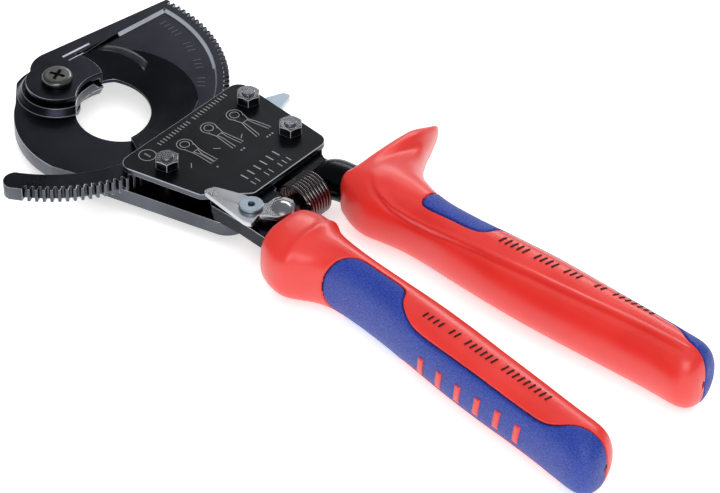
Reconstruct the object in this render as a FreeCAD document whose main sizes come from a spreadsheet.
import FreeCAD, Part
import math
import os
import Sketcher
from FreeCAD import Placement, Rotation, Vector

# A ratchet cable cutter, in millimetres.
# Every piece is modelled about the blade pivot: the pivot axis is X = Y = 0 and the
# shear plane, where the two blades meet, is Z = 0. +X runs from the head to the grips,
# +Y towards the guarded handle and +Z out of the cover plate. A placement then carries
# each piece to the frame whose origin is the middle of the tool's footprint.

SIZES = [
    # overall places
    ("origin_ahead", 111.85, "pivot axis to the middle of the tool, along X"),
    ("origin_aside", 7.8, "pivot axis to the middle of the tool, along Y"),
    ("origin_below", 9.8, "shear plane down to the surface it rests on"),
    # blades
    ("tooth_tip_radius", 55.0, "pivot to the tips of the ratchet teeth"),
    ("tooth_depth", 1.7, "tip to root of a ratchet tooth"),
    ("tooth_pitch", 2.5, "angle from one tooth to the next"),
    ("tooth_first", 94.0, "angle of the toothed rim's upper end"),
    ("tooth_gaps", 60, "number of gaps between teeth"),
    ("blade_thickness", 4.85, "moving blade, over the rim"),
    ("blade_clearance", 0.05, "between the blades at the shear plane"),
    ("field_depth", 1.0, "recess of the moving blade's field"),
    ("field_margin", 1.6, "that recess clear of the boss"),
    ("rim_width", 4.1, "full-height band inside the teeth's tips"),
    ("tail_width", 7.6, "width of the toothed tail"),
    ("hub_radius", 10.2, "round the pivot, moving blade"),
    ("fixed_hub_radius", 14.4, "round the pivot, fixed blade"),
    ("back_reach", 13.0, "pivot to the moving blade's back corner"),
    ("tail_tip", 5.8, "angle of the plain end of the tail"),
    ("edge_thickness", 0.9, "land left at the cutting edge"),
    ("bevel_width", 15.5, "ground bevel of the moving blade"),
    ("boss_height", 2.3, "fixed blade's boss round the pivot"),
    ("boss_radius", 11.6, "top of that boss"),
    ("boss_flare", 1.5, "extra radius at the foot of that boss"),
    ("boss_clearance", 0.3, "moving blade over the boss"),
    # cable hole
    ("hole_radius", 14.95, "concave edge of the fixed blade"),
    ("hole_ahead", 22.5, "centre of that edge, along X"),
    ("hole_aside", 6.7, "centre of that edge, along Y"),
    ("throat_radius", 11.5, "concave edge beside the hub"),
    ("jaw_reach", 34.8, "outer radius of the fixed jaw, about its hole"),
    # plates
    ("base_thickness", 5.2, "fixed blade and base plate"),
    ("cover_gap", 5.3, "shear plane to the cover's underside"),
    ("cover_thickness", 2.0, "cover plate"),
    ("plate_length", 41.4, "head edge to rear edge of both plates"),
    ("plate_overlap", 9.8, "how far the plates reach inside the tooth tips"),
    ("plate_top", 36.4, "pivot axis to the plates' upper head corner"),
    # pivot
    ("bush_radius", 4.0, "pivot bush"),
    ("running_clearance", 0.05, "round every turning pin"),
    ("bush_flange_radius", 7.0, "pivot bush flange"),
    ("bush_flange", 1.6, "thickness of that flange"),
    ("screw_radius", 2.0, "pivot screw shank"),
    ("screw_head_radius", 5.0, "pivot screw head"),
    ("screw_head", 2.4, "height of that head"),
    ("screw_dome", 1.2, "rounding of that head"),
    ("cross_reach", 2.6, "cross recess, middle to the end of an arm"),
    ("cross_half", 0.55, "cross recess, half the width of an arm"),
    # bolts
    ("bolt_radius", 2.0, "plate bolts"),
    ("bolt_clearance", 0.05, "round a plate bolt"),
    ("cap_radius", 3.5, "bolt head"),
    ("cap_height", 4.0, "bolt head"),
    ("socket_flats", 3.0, "hexagon socket, across flats"),
    ("washer_radius", 4.4, "plain washer"),
    ("washer_thickness", 0.6, "plain washer"),
    ("nut_flats", 7.0, "hexagon nut, across flats"),
    ("nut_height", 3.2, "hexagon nut"),
    ("sleeve_wall", 0.55, "spacer sleeve"),
    ("teeth_clearance", 0.6, "front sleeve clear of the tooth tips"),
    # handles
    ("layer_clearance", 0.1, "between a turning piece and a plate"),
    ("hinge_ahead", 19.0, "tooth tips to the handle hinge, along X"),
    ("hinge_aside", 2.0, "pivot axis to the handle hinge, along Y"),
    ("hinge_radius", 3.0, "handle hinge pin"),
    ("hinge_blind", 1.0, "depth of the pin's seat in the cover"),
    ("hinge_eye", 8.5, "round end of the moving handle"),
    ("dowel_radius", 1.5, "dowel through the fixed handle"),
    ("neck_radius", 7.2, "half width of the round neck"),
    ("neck_height", 5.9, "half height of the round neck"),
    ("core_width", 9.0, "handle core inside a grip"),
    ("core_clear", 7.5, "handle core short of a grip's far end"),
    ("grip_length", 138.5, "fixed grip, head end to far end"),
    ("moving_grip_length", 135.0, "moving grip, head end to far end"),
    ("grip_height", 12.3, "half height of a grip"),
    ("grip_skin", 1.8, "thickness of the soft inlays"),
    ("grip_level", 2.5, "shear plane to the middle of a grip"),
    # ratchet
    ("pawl_pin_radius", 1.5, "drive pawl pin"),
    ("pawl_gap", 0.45, "pawl tips clear of the tooth tips when lifted"),
    ("arm_thickness", 2.3, "handle arm under the drive pawl"),
    ("arm_half", 4.4, "half width of that arm at the pawl pin"),
    ("pawl_room", 5.65, "round recess of the handle over the drive pawl's pin"),
    ("pawl_eye", 3.6, "round heel of the drive pawl"),
    ("keeper_eye", 4.8, "round middle of the retaining pawl"),
    ("tab_length", 14.6, "release tab, from its bolt"),
    ("tab_level", 1.4, "shear plane to the release tab"),
    ("tab_thickness", 2.0, "release tab"),
    # latch
    ("latch_ahead", 36.5, "tooth tips to the latch rivet, along X"),
    ("latch_aside", -8.7, "pivot axis to the latch rivet, along Y"),
    ("latch_thickness", 1.6, "latch sheet"),
    ("latch_lift", 0.15, "latch over the cover plate"),
    ("rivet_radius", 1.9, "latch rivet shank"),
    ("rivet_bore", 1.1, "hollow of the rivet"),
    ("rivet_head_radius", 3.75, "latch rivet head"),
    ("rivet_head", 0.9, "height of that head"),
    ("knob_radius", 3.6, "thumb knob"),
    ("knob_height", 1.7, "thumb knob"),
    # handle spring
    ("spring_radius", 6.6, "middle of the wire"),
    ("spring_wire", 0.65, "radius of the wire"),
    ("spring_turns", 7.5, "turns of the coil"),
    ("spring_ahead", 41.0, "tooth tips to the spring's axis, along X"),
    ("spring_foot", 5.7, "pivot axis to the coil's end on the moving handle"),
    ("spring_clearance", 0.5, "room cut in the handles round the coil"),
    ("spring_head", 16.4, "pivot axis to the coil's end on the fixed handle"),
    ("peg_radius", 3.4, "pegs that the coil sits on"),
    ("peg_length", 2.6, "how far a peg reaches into the coil"),
    ("peg_seat", 3.0, "how far a peg reaches into its handle"),
    ("leaf_thickness", 0.4, "flat springs of the pawls"),
]

doc = FreeCAD.newDocument("cable_cutter")
sheet = doc.addObject("Spreadsheet::Sheet", "Sizes")
for row, (alias, number, meaning) in enumerate(SIZES, start=1):
    sheet.set("A%d" % row, meaning)
    sheet.set("B%d" % row, str(number))
    sheet.setAlias("B%d" % row, alias)
doc.recompute()

nodes = []


# ---------------------------------------------------------------- values

def amount(formula):
    """Value of a formula of aliases and numbers joined by + and -, such as 'a + b - 2'."""
    total = 0.0
    sign = 1.0
    for word in formula.split():
        if word == "+":
            sign = 1.0
        elif word == "-":
            sign = -1.0
        else:
            value = float(word) if word[0].isdigit() else float(sheet.get(word))
            total += sign * value
    return total


def bound(formula):
    """The same formula as an expression on the sheet's cells."""
    words = formula.split()
    return " ".join(w if w in "+-" or w[0].isdigit() else "Sizes." + w for w in words)


def polar(radius, degrees):
    return Vector(radius * math.cos(math.radians(degrees)), radius * math.sin(math.radians(degrees)), 0)


def beyond(x, y):
    """A point given from the tooth tips on the X axis, where plates and handles are laid out."""
    return Vector(amount("tooth_tip_radius") + x, y, 0)


# ---------------------------------------------------------------- outlines

def rounded(corners):
    """Closed outline through (point, radius) corners, with an arc at each corner of some radius."""
    points = [Vector(point) for point, _ in corners]
    edges = []
    ends = []
    for i, (point, radius) in enumerate(corners):
        before = (points[i - 1] - points[i]).normalize()
        after = (points[(i + 1) % len(points)] - points[i]).normalize()
        if radius <= 0:
            ends.append((points[i], None, points[i]))
            continue
        half = before.getAngle(after) / 2
        run = radius / math.tan(half)
        middle = (before + after).normalize() * (radius / math.sin(half) - radius)
        ends.append((points[i] + before * run, points[i] + middle, points[i] + after * run))
    for i, (start, middle, finish) in enumerate(ends):
        if middle is not None:
            edges.append(Part.Arc(start, middle, finish))
        following = ends[(i + 1) % len(ends)][0]
        if finish.distanceToPoint(following) > 1e-6:
            edges.append(Part.LineSegment(finish, following))
    return edges


def straight(points):
    """Closed outline of straight lines through the points."""
    return [Part.LineSegment(points[i], points[(i + 1) % len(points)]) for i in range(len(points))]


def face_of(edges):
    return Part.Face(Part.Wire([edge.toShape() for edge in edges]))


def slab(edges, low, high):
    """The outline's solid between two heights."""
    face = face_of(edges)
    face.translate(Vector(0, 0, low))
    return face.extrude(Vector(0, 0, high - low))


# ---------------------------------------------------------------- sub-parts

def keep(piece, label):
    """Names a sub-part and carries it from the pivot's frame to the tool's."""
    piece.Label = label
    piece.setExpression("Placement.Base.x", bound("0 - origin_ahead"))
    piece.setExpression("Placement.Base.y", bound("0 - origin_aside"))
    piece.setExpression("Placement.Base.z", bound("origin_below"))
    nodes.append(piece)
    return piece


def new_body(label):
    return keep(doc.addObject("PartDesign::Body", label), label)


def sketch_on(body, name, height):
    sketch = body.newObject("Sketcher::SketchObject", name)
    planes = [f for f in body.Origin.OriginFeatures if f.Role == "XY_Plane"]
    sketch.AttachmentSupport = [(planes[0], "")]
    sketch.MapMode = "FlatFace"
    sketch.setExpression("AttachmentOffset.Base.z", bound(height))
    return sketch


def draw(sketch, edges):
    for edge in edges:
        sketch.addGeometry(edge, False)


def draw_circle(sketch, centre, radius):
    """A circle whose radius follows the sheet."""
    circle = Part.Circle(centre, Vector(0, 0, 1), amount(radius))
    index = sketch.addGeometry(circle, False)
    rule = sketch.addConstraint(Sketcher.Constraint("Radius", index, amount(radius)))
    sketch.setExpression("Constraints[%d]" % rule, bound(radius))


def hexagon(centre, flats, turn=0.0):
    corners = [centre + polar(flats / math.sqrt(3), turn + 60 * k) for k in range(6)]
    return [Part.LineSegment(corners[k], corners[(k + 1) % 6]) for k in range(6)]


def pad(body, sketch, length):
    feature = body.newObject("PartDesign::Pad", sketch.Name + "_pad")
    feature.Profile = sketch
    feature.setExpression("Length", bound(length))
    return feature


def pocket(body, sketch, depth, upwards=True):
    """Cuts from the sketch's plane, upwards into the solid or downwards."""
    feature = body.newObject("PartDesign::Pocket", sketch.Name + "_pocket")
    feature.Profile = sketch
    feature.Reversed = upwards
    feature.setExpression("Length", bound(depth))
    return feature


def drill(body, name, height, depth, holes):
    """Round holes upwards from a height; each is (centre, radius)."""
    sketch = sketch_on(body, name, height)
    for centre, radius in holes:
        draw_circle(sketch, centre, radius)
    return pocket(body, sketch, depth)


def ring(label, centre, low, height, outer, inner):
    """A washer, sleeve or bush, as one drawn ring."""
    body = new_body(label)
    sketch = sketch_on(body, label + "_ring", low)
    draw_circle(sketch, centre, outer)
    draw_circle(sketch, centre, inner)
    pad(body, sketch, height)
    return body


def pin(label, centre, low, height, radius):
    body = new_body(label)
    sketch = sketch_on(body, label + "_round", low)
    draw_circle(sketch, centre, radius)
    pad(body, sketch, height)
    return body


def solid_feature(label, shape):
    piece = doc.addObject("Part::Feature", label)
    piece.Shape = shape if shape.Placement.isIdentity() else Part.makeCompound([shape])
    return keep(piece, label)


# ---------------------------------------------------------------- shared places

PIVOT = Vector(0, 0, 0)
HINGE = beyond(amount("hinge_ahead"), amount("hinge_aside"))
LATCH = beyond(amount("latch_ahead"), amount("latch_aside"))
DRIVE = HINGE + Vector(-10.0, -5.0, 0)
FRONT_BOLT = polar(amount("tooth_tip_radius + bolt_radius + sleeve_wall + teeth_clearance"), -9.6)
UPPER_BOLT = beyond(-0.6, 30.9)
REAR_BOLT = beyond(19.5, 28.4)
DOWEL = beyond(26.0, 19.5)
BOLTS = {"front": FRONT_BOLT, "upper": UPPER_BOLT, "rear": REAR_BOLT}
HOLE = Vector(amount("hole_ahead"), amount("hole_aside"), 0)
THROAT = HOLE + Vector(-3.4, -1.2, 0)
HEAD_EDGE = amount("tooth_tip_radius - plate_overlap")
REAR_EDGE = HEAD_EDGE + amount("plate_length")


# ---------------------------------------------------------------- blades

def jaw_outline():
    """Hub, hooked jaw and base plate of the fixed blade, in one outline."""
    hub = amount("fixed_hub_radius")
    top = amount("plate_top")
    reach = amount("jaw_reach")
    jaw_start = HOLE + polar(reach, 215)
    jaw_middle = HOLE + polar(reach, 245)
    jaw_end = HOLE + polar(reach, 274)
    heel = beyond(-20.5, -25.0)
    nose = beyond(30.9, -12.2)
    hub_left = polar(hub, 203)
    hub_right = polar(hub, 60)
    upper_right = Vector(REAR_EDGE, top - 3.4, 0)
    upper_left = Vector(HEAD_EDGE, top, 0)
    rounding = 4.0
    edges = [
        Part.Arc(hub_right, polar(hub, 130), hub_left),
        Part.LineSegment(hub_left, jaw_start),
        Part.Arc(jaw_start, jaw_middle, jaw_end),
        Part.LineSegment(jaw_end, heel),
        Part.LineSegment(heel, nose + Vector(-5.5, -1.3, 0)),
        Part.Arc(nose + Vector(-5.5, -1.3, 0), nose + Vector(-1.4, 0.8, 0), nose + Vector(0.7, 5.5, 0)),
        Part.LineSegment(nose + Vector(0.7, 5.5, 0), upper_right + Vector(0, -rounding, 0)),
        Part.Arc(
            upper_right + Vector(0, -rounding, 0),
            upper_right + Vector(-1.1, -1.1, 0),
            upper_right + Vector(-rounding, 0.3, 0),
        ),
        Part.LineSegment(upper_right + Vector(-rounding, 0.3, 0), upper_left + Vector(rounding, -0.3, 0)),
        Part.Arc(
            upper_left + Vector(rounding, -0.3, 0),
            upper_left + Vector(1.2, -1.2, 0),
            upper_left + Vector(0, -rounding, 0),
        ),
        Part.LineSegment(upper_left + Vector(0, -rounding, 0), Vector(HEAD_EDGE, HOLE.y + 9, 0)),
        Part.LineSegment(Vector(HEAD_EDGE, HOLE.y + 9, 0), HOLE + Vector(12, 0, 0)),
        Part.LineSegment(HOLE + Vector(12, 0, 0), hub_right),
    ]
    return edges


def make_fixed_blade():
    body = new_body("fixed_blade")
    plate = sketch_on(body, "fixed_plate", "0 - base_thickness")
    draw(plate, jaw_outline())
    pad(body, plate, "base_thickness")
    boss = body.newObject("PartDesign::AdditiveCone", "pivot_boss")
    boss.setExpression("Radius1", bound("boss_radius + boss_flare"))
    boss.setExpression("Radius2", bound("boss_radius"))
    boss.setExpression("Height", bound("boss_height"))
    drill(body, "jaw_hole", "0 - base_thickness", "base_thickness + boss_height", [(HOLE, "hole_radius")])
    drill(body, "throat_hole", "0 - base_thickness", "base_thickness + boss_height",
          [(THROAT, "throat_radius")])
    bevel = body.newObject("PartDesign::SubtractiveCone", "jaw_bevel")
    bevel.setExpression("Radius1", bound("hole_radius + 3"))
    bevel.setExpression("Radius2", bound("hole_radius"))
    bevel.setExpression("Height", bound("base_thickness - edge_thickness"))
    planes = [f for f in body.Origin.OriginFeatures if f.Role == "XY_Plane"]
    bevel.AttachmentSupport = [(planes[0], "")]
    bevel.MapMode = "FlatFace"
    bevel.AttachmentOffset = Placement(HOLE - Vector(0, 0, amount("base_thickness")), Rotation())
    holes = [(PIVOT, "bush_radius"), (HINGE, "hinge_radius"), (DOWEL, "dowel_radius")]
    holes += [(place, "bolt_radius + bolt_clearance") for place in BOLTS.values()]
    drill(body, "fixed_holes", "0 - base_thickness", "base_thickness + boss_height", holes)


def toothed_edge():
    """The ratchet teeth, from the rim's upper end down to the tail's end."""
    tip = amount("tooth_tip_radius")
    root = amount("tooth_tip_radius - tooth_depth")
    pitch = amount("tooth_pitch")
    first = amount("tooth_first")
    points = []
    for gap in range(int(amount("tooth_gaps"))):
        middle = first - pitch * (gap + 1)
        points.append(polar(tip, middle + 0.32 * pitch))
        points.append(polar(root, middle + 0.14 * pitch))
        points.append(polar(root, middle - 0.14 * pitch))
        points.append(polar(tip, middle - 0.32 * pitch))
    return points


def moving_outline():
    hub = amount("hub_radius")
    reach = amount("back_reach")
    tail_inside = amount("tooth_tip_radius - tail_width")
    end = amount("tooth_first") - amount("tooth_pitch") * (amount("tooth_gaps") + 1) - amount("tail_tip")
    round_off = 3.0
    back_top = polar(amount("tooth_tip_radius"), amount("tooth_first"))
    back_foot = Vector(-reach, 0.54 * reach, 0)
    throat = THROAT + Vector(-1.2, 1.6, 0)
    hub_left = polar(hub, 194)
    hub_right = polar(hub, -10)
    hole_left = throat + Vector(-7.9, 8.6, 0)
    hole_right = HOLE + Vector(12.2, -9.3, 0)
    inside_start = polar(tail_inside, -12)
    teeth = toothed_edge()
    edges = [
        Part.LineSegment(back_top, back_foot),
        Part.Arc(back_foot, Vector(-0.99 * reach, 0.17 * reach, 0), hub_left),
        Part.Arc(hub_left, polar(hub, 270), hub_right),
        Part.Arc(hub_right, throat + Vector(-11.4, -0.4, 0), hole_left),
        Part.Arc(hole_left, throat + Vector(4.9, 9.2, 0), hole_right),
        Part.LineSegment(hole_right, inside_start),
        Part.Arc(inside_start, polar(tail_inside, (end - 12) / 2), polar(tail_inside, end + round_off)),
        Part.Arc(
            polar(tail_inside, end + round_off),
            polar(amount("tooth_tip_radius") - amount("tail_width") / 2, end),
            polar(amount("tooth_tip_radius"), end + round_off),
        ),
        Part.LineSegment(polar(amount("tooth_tip_radius"), end + round_off), teeth[-1]),
    ]
    for i in range(len(teeth) - 1, 0, -1):
        edges.append(Part.LineSegment(teeth[i], teeth[i - 1]))
    edges.append(Part.LineSegment(teeth[0], back_top))
    return edges


def field_outline():
    """The sunk field between the toothed rim, the back rib and the hub."""
    wall = amount("tooth_tip_radius - rim_width")
    tail_inside = amount("tooth_tip_radius - tail_width")
    hub = amount("boss_radius + boss_flare + field_margin")
    upper = polar(wall, 91.0)
    lower = polar(wall, -4.0)
    foot = Vector(-4.6, amount("hub_radius") + 6.5, 0)
    edges = [
        Part.Arc(upper, polar(wall, 45), lower),
        Part.LineSegment(lower, polar(tail_inside - 3, -12)),
        Part.LineSegment(polar(tail_inside - 3, -12), HOLE + Vector(8, -16, 0)),
        Part.LineSegment(HOLE + Vector(8, -16, 0), polar(hub, -20)),
        Part.Arc(polar(hub, -20), polar(hub, 45), foot),
        Part.LineSegment(foot, upper),
    ]
    return edges


def make_moving_blank():
    body = doc.addObject("PartDesign::Body", "moving_blank")
    profile = sketch_on(body, "moving_profile", "blade_clearance")
    draw(profile, moving_outline())
    pad(body, profile, "blade_thickness")
    field = sketch_on(body, "sunk_field", "blade_clearance + blade_thickness - field_depth")
    draw(field, field_outline())
    pocket(body, field, "field_depth")
    drill(
        body, "boss_room", "0", "boss_height + boss_clearance",
        [(PIVOT, "boss_radius + boss_flare + boss_clearance + 0.4")],
    )
    drill(body, "pivot_bore", "0", "blade_thickness + 1", [(PIVOT, "bush_radius + running_clearance")])
    doc.recompute()
    return body


def make_ground_blade():
    """The moving blade with its bevel ground down to the cutting edge round the hole."""
    blank = make_moving_blank()
    top = amount("blade_clearance + blade_thickness - field_depth")
    edge = amount("blade_clearance + edge_thickness")
    inner = amount("hole_radius") - 2.5
    outer = inner + amount("bevel_width")
    centre = HOLE + Vector(-3.0, -2.6, 0)
    rise = (top - edge) / (outer - inner)
    high = top + 3.0
    cone = Part.makeCone(inner, inner + (high - edge) / rise, high - edge, centre + Vector(0, 0, edge))
    plug = Part.makeCylinder(inner + 0.01, high - edge, centre + Vector(0, 0, edge))
    guard = Part.makeCylinder(amount("boss_radius + boss_flare + field_margin"), 30, Vector(0, 0, -10))
    rim_inside = amount("tooth_tip_radius - tail_width") - 1.5
    reach = Part.makeCylinder(rim_inside, 30, Vector(0, 0, -10))
    rib = slab(straight([
        Vector(-30, -60, 0), Vector(-4.6, amount("hub_radius") + 6.5, 0),
        polar(amount("tooth_tip_radius"), 91.0), Vector(-30, 80, 0),
    ]), -10, 20)
    cut = cone.fuse(plug).common(reach).cut(guard).cut(rib)
    solid_feature("moving_blade", blank.Shape.cut(cut))


def make_pivot():
    body = new_body("pivot_bush")
    flange = sketch_on(body, "bush_flange_round", "0 - base_thickness - bush_flange")
    draw_circle(flange, PIVOT, "bush_flange_radius")
    pad(body, flange, "bush_flange")
    barrel = sketch_on(body, "bush_barrel", "0 - base_thickness")
    draw_circle(barrel, PIVOT, "bush_radius")
    pad(body, barrel, "base_thickness + blade_thickness + blade_clearance + running_clearance")
    drill(body, "bush_bore", "0 - base_thickness - bush_flange",
          "base_thickness + bush_flange + blade_thickness + 1", [(PIVOT, "screw_radius")])

    seat = "blade_clearance + blade_thickness + running_clearance"
    screw = new_body("pivot_screw")
    shank = sketch_on(screw, "screw_shank", "0 - base_thickness - 0.6")
    draw_circle(shank, PIVOT, "screw_radius")
    pad(screw, shank, "base_thickness + 0.6 + " + seat)
    head = sketch_on(screw, "screw_head_round", seat)
    draw_circle(head, PIVOT, "screw_head_radius")
    crown = pad(screw, head, "screw_head")
    doc.recompute()
    top = amount(seat + " + screw_head")
    rim = [
        "Edge%d" % number for number, edge in enumerate(crown.Shape.Edges, start=1)
        if edge.BoundBox.ZLength < 0.001 and abs(edge.BoundBox.ZMax - top) < 0.001
    ]
    soften = screw.newObject("PartDesign::Fillet", "screw_head_dome")
    soften.Base = (crown, rim)
    soften.setExpression("Radius", bound("screw_dome"))
    cross = sketch_on(screw, "screw_cross", seat + " + screw_head")
    arm = amount("cross_reach")
    wing = amount("cross_half")
    corners = []
    for quarter in range(4):
        turn = Rotation(Vector(0, 0, 1), 90 * quarter + 20)
        corners += [turn.multVec(Vector(arm, -wing, 0)), turn.multVec(Vector(arm, wing, 0)),
                    turn.multVec(Vector(wing, wing, 0))]
    draw(cross, straight(corners))
    pocket(screw, cross, "screw_head - 0.7", upwards=False)


# ---------------------------------------------------------------- plates and fasteners

def cover_outline():
    top = amount("plate_top")
    return rounded([
        (Vector(HEAD_EDGE, -20.3, 0), 4.0),
        (beyond(19.8, -13.6), 1.5),
        (Vector(REAR_EDGE, -2.0, 0), 2.5),
        (Vector(REAR_EDGE, top - 3.4, 0), 4.0),
        (Vector(HEAD_EDGE, top, 0), 4.0),
    ])


def make_cover():
    body = new_body("cover_plate")
    sketch = sketch_on(body, "cover_profile", "cover_gap")
    draw(sketch, cover_outline())
    pad(body, sketch, "cover_thickness")
    drill(body, "cover_holes", "cover_gap", "cover_thickness",
          [(place, "bolt_radius + bolt_clearance") for place in BOLTS.values()])
    drill(body, "hinge_seat", "cover_gap", "hinge_blind", [(HINGE, "hinge_radius")])
    drill(body, "dowel_seat", "cover_gap", "hinge_blind", [(DOWEL, "dowel_radius")])


def make_bolt(name, place):
    under = "0 - base_thickness - washer_thickness"
    body = new_body(name + "_bolt")
    head = sketch_on(body, name + "_bolt_head", under + " - cap_height")
    draw_circle(head, place, "cap_radius")
    pad(body, head, "cap_height")
    shank = sketch_on(body, name + "_bolt_shank", under)
    draw_circle(shank, place, "bolt_radius")
    pad(body, shank, "washer_thickness + base_thickness + cover_gap + cover_thickness + nut_height + 0.6")
    socket = sketch_on(body, name + "_bolt_socket", under + " - cap_height")
    draw(socket, hexagon(place, amount("socket_flats")))
    pocket(body, socket, "cap_height - 2")
    ring(name + "_washer", place, under, "washer_thickness", "washer_radius", "bolt_radius + bolt_clearance")

    nut = new_body(name + "_nut")
    profile = sketch_on(nut, name + "_nut_profile", "cover_gap + cover_thickness")
    draw(profile, hexagon(place, amount("nut_flats"), 12.0))
    draw_circle(profile, place, "bolt_radius")
    pad(nut, profile, "nut_height")
    crown = nut.newObject("PartDesign::Groove", name + "_nut_crown")
    section = nut.newObject("Sketcher::SketchObject", name + "_crown_section")
    planes = [f for f in nut.Origin.OriginFeatures if f.Role == "XZ_Plane"]
    section.AttachmentSupport = [(planes[0], "")]
    section.MapMode = "FlatFace"
    section.AttachmentOffset = Placement(Vector(place.x, 0, -place.y), Rotation())
    top = amount("cover_gap + cover_thickness + nut_height")
    across = amount("nut_flats")
    corners = [Vector(0.47 * across, top, 0), Vector(0.47 * across + 1.6, top, 0),
               Vector(0.47 * across + 1.6, top - 0.9, 0)]
    draw(section, straight(corners))
    crown.Profile = section
    crown.ReferenceAxis = (section, ["V_Axis"])
    crown.Angle = 360


def make_fasteners():
    for name, place in BOLTS.items():
        make_bolt(name, place)
    for name in ("front", "upper"):
        ring(name + "_sleeve", BOLTS[name], "0", "cover_gap", "bolt_radius + sleeve_wall + bolt_clearance",
             "bolt_radius + bolt_clearance")
    pin("hinge_pin", HINGE, "0 - base_thickness", "base_thickness + cover_gap + hinge_blind", "hinge_radius")
    pin("handle_dowel", DOWEL, "0 - base_thickness", "base_thickness + cover_gap + hinge_blind",
        "dowel_radius")


# ---------------------------------------------------------------- handles

GRIP_START_FIXED = beyond(44.6, 0).x
GRIP_START_MOVING = beyond(48.0, 0).x

# Stations of a grip: share of its length, how far its middle stands aside, half width,
# and half height as a share of the full half height.
FIXED_STATIONS = [
    (0.000, 29.6, 7.8, 0.72), (0.012, 29.2, 9.4, 0.88), (0.040, 28.6, 10.4, 0.96), (0.100, 27.3, 10.3, 1.0),
    (0.165, 26.4, 9.3, 1.0), (0.270, 25.3, 7.9, 1.0), (0.350, 25.0, 8.5, 1.0), (0.460, 25.2, 9.9, 1.0),
    (0.570, 25.5, 10.4, 1.0), (0.680, 25.7, 9.8, 1.0), (0.785, 26.0, 8.8, 1.0), (0.890, 26.2, 8.0, 0.98),
    (0.950, 26.2, 7.3, 0.90), (0.985, 26.2, 5.6, 0.72), (1.000, 26.2, 2.8, 0.40),
]
MOVING_STATIONS = [
    (0.000, -9.0, 6.8, 0.66), (0.012, -9.1, 9.8, 0.82), (0.045, -9.4, 13.2, 0.92), (0.080, -10.2, 14.9, 0.96),
    (0.112, -10.3, 14.0, 0.98), (0.148, -9.0, 10.4, 1.0), (0.198, -8.8, 8.5, 1.0), (0.270, -9.5, 7.7, 1.0),
    (0.345, -10.5, 8.2, 1.0), (0.450, -12.2, 9.8, 1.0), (0.560, -14.3, 10.5, 1.0), (0.665, -16.2, 10.3, 1.0),
    (0.775, -17.9, 9.6, 1.0), (0.885, -19.9, 8.8, 0.98), (0.945, -21.1, 7.9, 0.90), (0.983, -21.8, 6.0, 0.72),
    (1.000, -22.1, 3.0, 0.40),
]


def oval(x, y, half_width, half_height):
    """An upright oval across the grip, as a wire."""
    level = amount("grip_level")
    if half_height >= half_width:
        major, minor = half_height, half_width
        frame = Rotation(Vector(0, 0, 1), Vector(0, 1, 0), Vector(1, 0, 0), "XYZ")
    else:
        major, minor = half_width, half_height
        frame = Rotation(Vector(0, 1, 0), Vector(0, 0, 1), Vector(1, 0, 0), "XYZ")
    ellipse = Part.Ellipse(Vector(0, 0, 0), major, minor).toShape()
    ellipse.Placement = Placement(Vector(x, y, level), frame)
    return Part.Wire([ellipse])


def grip_body(start, length, stations, inset=0.0):
    """A grip's envelope; inset gives the same shape, smaller all round."""
    height = amount("grip_height")
    wires = []
    for share, aside, width, tall in stations:
        x = start + share * length
        if share == 0:
            x += inset
        if share == 1:
            x -= inset
        wires.append(oval(x, aside, width - inset, height * tall - inset))
    return Part.makeLoft(wires, True, False)


def core_box(start, far_end, first, last, thickness):
    """The flat bar that runs on from a handle into its grip, tapering a little."""
    low = amount("cover_gap") / 2 - thickness / 2
    width = amount("core_width")
    corners = [
        (Vector(start, first + width / 2, 0), 0), (Vector(start, first - width / 2, 0), 0),
        (Vector(far_end, last - width / 2 + 1, 0), 2), (Vector(far_end, last + width / 2 - 1, 0), 2),
    ]
    return slab(rounded(corners), low, low + thickness)


def spring_room():
    """Space round the coil, which the handles beside it leave free."""
    low = amount("spring_foot - spring_clearance")
    high = amount("spring_head + spring_clearance")
    start = Vector(beyond(amount("spring_ahead"), 0).x, low, amount("cover_gap") / 2)
    return Part.makeCylinder(amount("spring_radius + spring_wire + spring_clearance"), high - low, start,
                             Vector(0, 1, 0))


def make_fixed_handle():
    gap = amount("cover_gap")
    tang = slab(rounded([
        (beyond(8.5, 33.2), 2), (beyond(8.5, 15.0), 3), (beyond(29.5, 13.8), 3), (beyond(36.8, 15.8), 0),
        (beyond(50.0, 20.0), 0), (beyond(50.0, 29.0), 0), (beyond(34.0, 27.2), 3), (beyond(29.0, 32.4), 2),
    ]), 0, gap)
    neck_start = beyond(36.5, 23.6)
    neck_end = beyond(60.0, 27.0)
    wires = []
    for share, shrink in ((0.0, 2.2), (0.09, 0.6), (0.25, 0.0), (0.6, 0.4), (1.0, 1.4)):
        middle = neck_start + (neck_end - neck_start) * share
        wires.append(oval(middle.x, middle.y, amount("neck_radius") - shrink, amount("neck_height") - shrink))
    neck = Part.makeLoft(wires, True, False)
    far_end = GRIP_START_FIXED + amount("grip_length - core_clear")
    core = core_box(neck_end.x - 2, far_end, 27.0, 25.5, gap)
    shape = tang.fuse(neck).fuse(core).cut(spring_room())
    for place, radius in ((REAR_BOLT, "bolt_radius + bolt_clearance"), (DOWEL, "dowel_radius")):
        shape = shape.cut(Part.makeCylinder(amount(radius), 3 * gap, place - Vector(0, 0, gap)))
    solid_feature("fixed_handle", shape)
    return shape


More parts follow.
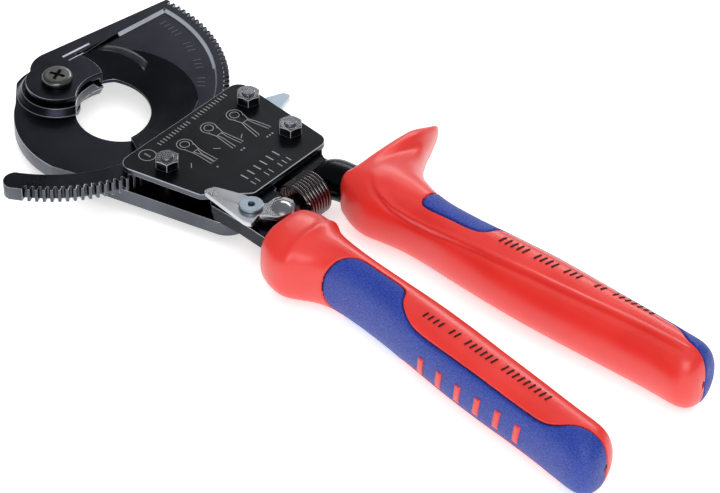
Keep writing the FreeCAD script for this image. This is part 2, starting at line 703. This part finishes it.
def make_moving_handle():
    low = amount("layer_clearance")
    high = amount("cover_gap - layer_clearance")
    arm_top = low + amount("arm_thickness")
    eye = Part.makeCylinder(amount("hinge_eye"), high - low, HINGE + Vector(0, 0, low))
    shank = slab(rounded([
        (HINGE + Vector(0, amount("hinge_eye"), 0), 0), (HINGE + Vector(-1.5, -7.5, 0), 0),
        (HINGE + Vector(4.5, -15.2, 0), 3), (beyond(36.0, -13.0), 0), (beyond(62.0, -14.5), 0),
        (beyond(62.0, -3.8), 0), (beyond(40.0, 4.3), 4), (beyond(29.0, 7.5), 6),
    ]), low, high)
    toe = Part.makeCylinder(amount("arm_half"), arm_top - low, DRIVE + Vector(0, 0, low))
    across = Vector(-5.0, 10.0, 0).normalize() * amount("arm_half")
    arm = slab(rounded([
        (DRIVE + across, 0), (DRIVE - across, 0), (HINGE - across * 1.6, 0), (HINGE + across * 1.6, 0),
    ]), low, arm_top)
    far_end = GRIP_START_MOVING + amount("moving_grip_length - core_clear")
    core = core_box(beyond(60.0, 0).x, far_end, -9.2, -17.6, high - low)
    shape = eye.fuse(shank).fuse(toe).fuse(arm).fuse(core)
    room = Part.makeCylinder(amount("pawl_room"), 20, DRIVE + Vector(0, 0, arm_top))
    shape = shape.cut(room).cut(spring_room())
    bores = (
        (HINGE, amount("hinge_radius + running_clearance")),
        (DRIVE, amount("pawl_pin_radius")),
        (LATCH, amount("rivet_radius")),
    )
    for place, radius in bores:
        shape = shape.cut(Part.makeCylinder(radius, 20, place - Vector(0, 0, 5)))
    solid_feature("moving_handle", shape)
    return shape


# Stations of the guard: how far out, its two edges from the tooth tips, and half thickness.
GUARD_STATIONS = [
    (28.0, 47.0, 76.0, 10.2), (38.0, 46.9, 68.6, 9.2), (48.0, 46.9, 61.8, 8.4),
    (57.0, 47.2, 56.4, 7.4), (63.9, 48.0, 52.6, 5.4),
]


def guard_shape():
    """The wing that keeps the hand behind the head, on the fixed grip."""
    level = amount("grip_level")
    wires = []
    for y, left, right, half in GUARD_STATIONS:
        corner = 2.0 if half > 5 else 1.2
        outline = rounded([
            (beyond(left, -half), corner), (beyond(right, -half * 0.55), corner),
            (beyond(right, half * 0.55), corner), (beyond(left, half), corner),
        ])
        wire = Part.Wire([edge.toShape() for edge in outline])
        wire.Placement = Placement(Vector(0, y, level), Rotation(Vector(1, 0, 0), 90))
        wires.append(wire)
    return Part.makeLoft(wires, True, False)


def zone(points):
    return slab(straight(points), -40, 40)


def zone_along(start, length, points):
    """A zone from (share of the grip's length, distance aside) points."""
    return zone([Vector(start + share * length, y, 0) for share, y in points])


# Outlines of the soft inlays in plan: share of the grip's length, and distance aside.
FIXED_INLAY = [
    (0.224, 60.0), (0.235, 29.0), (0.233, 25.8), (0.237, 23.1), (0.250, 22.0), (0.318, 22.9), (0.390, 23.2),
    (0.413, 25.5), (0.420, 30.0), (0.465, 31.3), (0.650, 32.6), (0.830, 31.0), (0.908, 29.7), (0.942, 26.5),
    (0.980, 26.0), (1.100, 25.0), (1.100, 60.0),
]
MOVING_INLAY = [
    (0.170, -60.0), (0.176, -17.2), (0.190, -15.7), (0.202, -13.3), (0.225, -10.3), (0.246, -9.1),
    (0.373, -10.5), (0.388, -11.6), (0.399, -15.0), (0.425, -17.4), (0.468, -19.8), (0.638, -22.8),
    (0.792, -25.1), (0.858, -26.0), (0.891, -25.1), (0.924, -21.8), (0.957, -21.6), (1.100, -20.0),
    (1.100, -60.0),
]


def make_grips(fixed_core, moving_core):
    skin = amount("grip_skin")
    start = GRIP_START_FIXED
    length = amount("grip_length")
    outer = grip_body(start, length, FIXED_STATIONS)
    shell = outer.cut(grip_body(start, length, FIXED_STATIONS, skin))
    inlay = shell.common(zone_along(start, length, FIXED_INLAY)).cut(fixed_core)
    solid_feature("fixed_grip", outer.fuse(guard_shape()).cut(inlay).cut(fixed_core))
    solid_feature("fixed_grip_inlay", inlay)

    start = GRIP_START_MOVING
    length = amount("moving_grip_length")
    outer = grip_body(start, length, MOVING_STATIONS)
    shell = outer.cut(grip_body(start, length, MOVING_STATIONS, skin))
    inlay = shell.common(zone_along(start, length, MOVING_INLAY)).cut(moving_core)
    solid_feature("moving_grip", outer.cut(inlay).cut(moving_core))
    solid_feature("moving_grip_inlay", inlay)


# ---------------------------------------------------------------- ratchet

def make_pawls():
    level = amount("layer_clearance") + amount("arm_thickness") + amount("layer_clearance")
    high = amount("cover_gap - layer_clearance")
    tip_radius = amount("tooth_tip_radius + pawl_gap")

    tooth = polar(tip_radius, 8.75)
    nose = slab(straight([
        tooth, tooth + Vector(1.6, -1.5, 0), DRIVE + Vector(-3.1, 1.4, 0), DRIVE + Vector(2.6, 2.4, 0),
        tooth + Vector(4.2, 2.2, 0), tooth + Vector(1.1, 1.3, 0),
    ]), level, high)
    heel = Part.makeCylinder(amount("pawl_eye"), high - level, DRIVE + Vector(0, 0, level))
    drive = nose.fuse(heel)
    bore = Part.makeCylinder(amount("pawl_pin_radius + running_clearance"), 20, DRIVE)
    solid_feature("drive_pawl", drive.cut(bore))
    pin("drive_pawl_pin", DRIVE, "layer_clearance", "cover_gap - layer_clearance - layer_clearance",
        "pawl_pin_radius")

    low = amount("layer_clearance")
    tooth = polar(tip_radius, 18.75)
    tab = UPPER_BOLT + Vector(3.9, amount("tab_length"), 0)
    arm = slab(straight([
        tooth, tooth + Vector(1.4, -1.6, 0), tooth + Vector(3.6, 0.2, 0), UPPER_BOLT + Vector(4.6, -1.0, 0),
        UPPER_BOLT + Vector(-2.0, -4.2, 0), tooth + Vector(0.9, 1.4, 0),
    ]), low, high)
    eye = Part.makeCylinder(amount("keeper_eye"), high - low, UPPER_BOLT + Vector(0, 0, low))
    lever = slab(rounded([
        (UPPER_BOLT + Vector(-3.0, 2.0, 0), 0), (UPPER_BOLT + Vector(4.6, -0.5, 0), 0),
        (UPPER_BOLT + Vector(6.6, 8.6, 0), 2), (tab + Vector(0.9, 0.2, 0), 0.8),
        (tab + Vector(-1.6, -0.6, 0), 0.8),
    ]), amount("tab_level"), amount("tab_level + tab_thickness"))
    keeper = arm.fuse(eye).fuse(lever)
    bore = Part.makeCylinder(
        amount("bolt_radius + sleeve_wall + bolt_clearance + running_clearance"), 20,
        UPPER_BOLT - Vector(0, 0, 5),
    )
    solid_feature("retaining_pawl", keeper.cut(bore))


def make_leaf(label, points, thickness, low, high):
    """A flat spring that follows the points, as thick as stated towards its left."""
    left = []
    for i, point in enumerate(points):
        ahead = points[min(i + 1, len(points) - 1)] - points[max(i - 1, 0)]
        left.append(point + Vector(-ahead.y, ahead.x, 0).normalize() * thickness)
    solid_feature(label, slab(straight(points + left[::-1]), low, high))


# ---------------------------------------------------------------- latch

def make_latch():
    low = amount("cover_gap + cover_thickness + latch_lift")
    thick = amount("latch_thickness")
    sheet_edges = rounded([
        (LATCH + Vector(-16.3, -4.4, 0), 1.2), (LATCH + Vector(-14.6, -0.4, 0), 2.5),
        (LATCH + Vector(-5.0, 2.9, 0), 4), (LATCH + Vector(2.6, 3.6, 0), 1.5),
        (LATCH + Vector(2.6, 9.4, 0), 3), (LATCH + Vector(7.6, 11.2, 0), 3.2),
        (LATCH + Vector(11.4, 7.0, 0), 3.2), (LATCH + Vector(9.4, 1.6, 0), 3),
        (LATCH + Vector(4.4, -1.6, 0), 0.8), (LATCH + Vector(5.6, -6.0, 0), 0.8),
        (LATCH + Vector(3.0, -6.8, 0), 1.5),
    ])
    clasp = slab(sheet_edges, low, low + thick)
    clasp = clasp.cut(Part.makeCylinder(amount("rivet_radius + running_clearance"), 20, LATCH))
    solid_feature("latch_clasp", clasp)

    ring("latch_spacer", LATCH, "cover_gap - layer_clearance",
         "cover_thickness + latch_lift", "rivet_radius + 1.6", "rivet_radius")
    body = new_body("latch_rivet")
    shank = sketch_on(body, "rivet_shank", "layer_clearance")
    draw_circle(shank, LATCH, "rivet_radius")
    pad(body, shank, "cover_gap + cover_thickness + latch_lift + latch_thickness")
    head = sketch_on(body, "rivet_head_round",
                     "layer_clearance + cover_gap + cover_thickness + latch_lift + latch_thickness")
    draw_circle(head, LATCH, "rivet_head_radius")
    pad(body, head, "rivet_head")
    drill(body, "rivet_hollow", "layer_clearance",
          "cover_gap + cover_thickness + latch_lift + latch_thickness + rivet_head + 1",
          [(LATCH, "rivet_bore")])

    place = LATCH + Vector(7.4, 6.1, 0)
    radius = amount("knob_radius")
    height = amount("knob_height")
    big = (radius * radius + height * height) / (2 * height)
    ball = Part.makeSphere(big, place + Vector(0, 0, low + thick + height - big))
    above = Part.makeBox(30, 30, 10, place + Vector(-15, -15, low + thick))
    solid_feature("latch_knob", ball.common(above))


# ---------------------------------------------------------------- handle spring

def make_spring():
    """Coil between the handles, with its axis across the tool, on a peg at each end."""
    level = amount("cover_gap") / 2
    centre_x = beyond(amount("spring_ahead"), 0).x
    foot = amount("spring_foot")
    head = amount("spring_head")
    wire = amount("spring_wire")
    rise = head - foot - 2 * wire
    quarters = int(4 * amount("spring_turns"))

    def on_coil(quarter):
        return polar(amount("spring_radius"), 90 * quarter) + Vector(0, 0, rise * quarter / quarters)

    arcs = [Part.Arc(on_coil(i), on_coil(i + 0.5), on_coil(i + 1)).toShape() for i in range(quarters)]
    section = Part.Wire([Part.Circle(on_coil(0), on_coil(0.01) - on_coil(0), wire).toShape()])
    coil = Part.Wire(arcs).makePipeShell([section], True, True)
    coil.Placement = Placement(Vector(centre_x, foot + wire, level), Rotation(Vector(1, 0, 0), -90))
    solid_feature("handle_spring", coil)
    return centre_x, level


def make_pegs(fixed_core, moving_core, centre_x, level):
    """One peg on each handle, standing into the end of the coil."""
    radius = amount("peg_radius")
    deep = amount("peg_seat")
    for label, core, end, reach in (
        ("moving_spring_peg", moving_core, amount("spring_foot"), amount("peg_length")),
        ("fixed_spring_peg", fixed_core, amount("spring_head"), 0 - amount("peg_length")),
    ):
        tip = end + reach
        far = end - math.copysign(deep, reach)
        peg = Part.makeCylinder(
            radius, abs(tip - far), Vector(centre_x, min(tip, far), level), Vector(0, 1, 0))
        solid_feature(label, peg.cut(core))


def make_leaves():
    low = amount("layer_clearance")
    high = amount("cover_gap - layer_clearance")
    pawl_level = low + amount("arm_thickness") + low
    thickness = amount("leaf_thickness")
    make_leaf("retaining_pawl_spring", [beyond(8.2, 32.0), beyond(8.0, 27.5), beyond(4.2, 21.5)],
              -thickness, low, high)
    make_leaf("drive_pawl_spring", [HINGE + Vector(-9.0, 0.5, 0), HINGE + Vector(-9.3, 4.5, 0),
                                    HINGE + Vector(-11.2, 8.4, 0)], -thickness, pawl_level, high)


def check_and_export():
    doc.recompute()
    for item in doc.Objects:
        if "Invalid" in item.State or "Error" in item.State:
            raise RuntimeError("failed object: " + item.Name)
    os.makedirs("parts", exist_ok=True)
    for piece in nodes:
        shape = piece.Shape
        if shape.isNull() or not shape.isValid() or shape.Volume <= 0:
            raise RuntimeError("bad shape: " + piece.Label)
        shape.exportStep("parts/%s.step" % piece.Label)
        box = shape.optimalBoundingBox(False)
        print("%-24s %9.1f mm3 %d solid  x %.1f..%.1f y %.1f..%.1f z %.1f..%.1f" % (
            piece.Label, shape.Volume, len(shape.Solids), box.XMin, box.XMax, box.YMin, box.YMax,
            box.ZMin, box.ZMax))


make_fixed_blade()
make_ground_blade()
make_pivot()
make_cover()
make_fasteners()
fixed_core = make_fixed_handle()
moving_core = make_moving_handle()
make_grips(fixed_core, moving_core)
make_pawls()
make_latch()
spring_x, spring_level = make_spring()
make_pegs(fixed_core, moving_core, spring_x, spring_level)
make_leaves()
check_and_export()
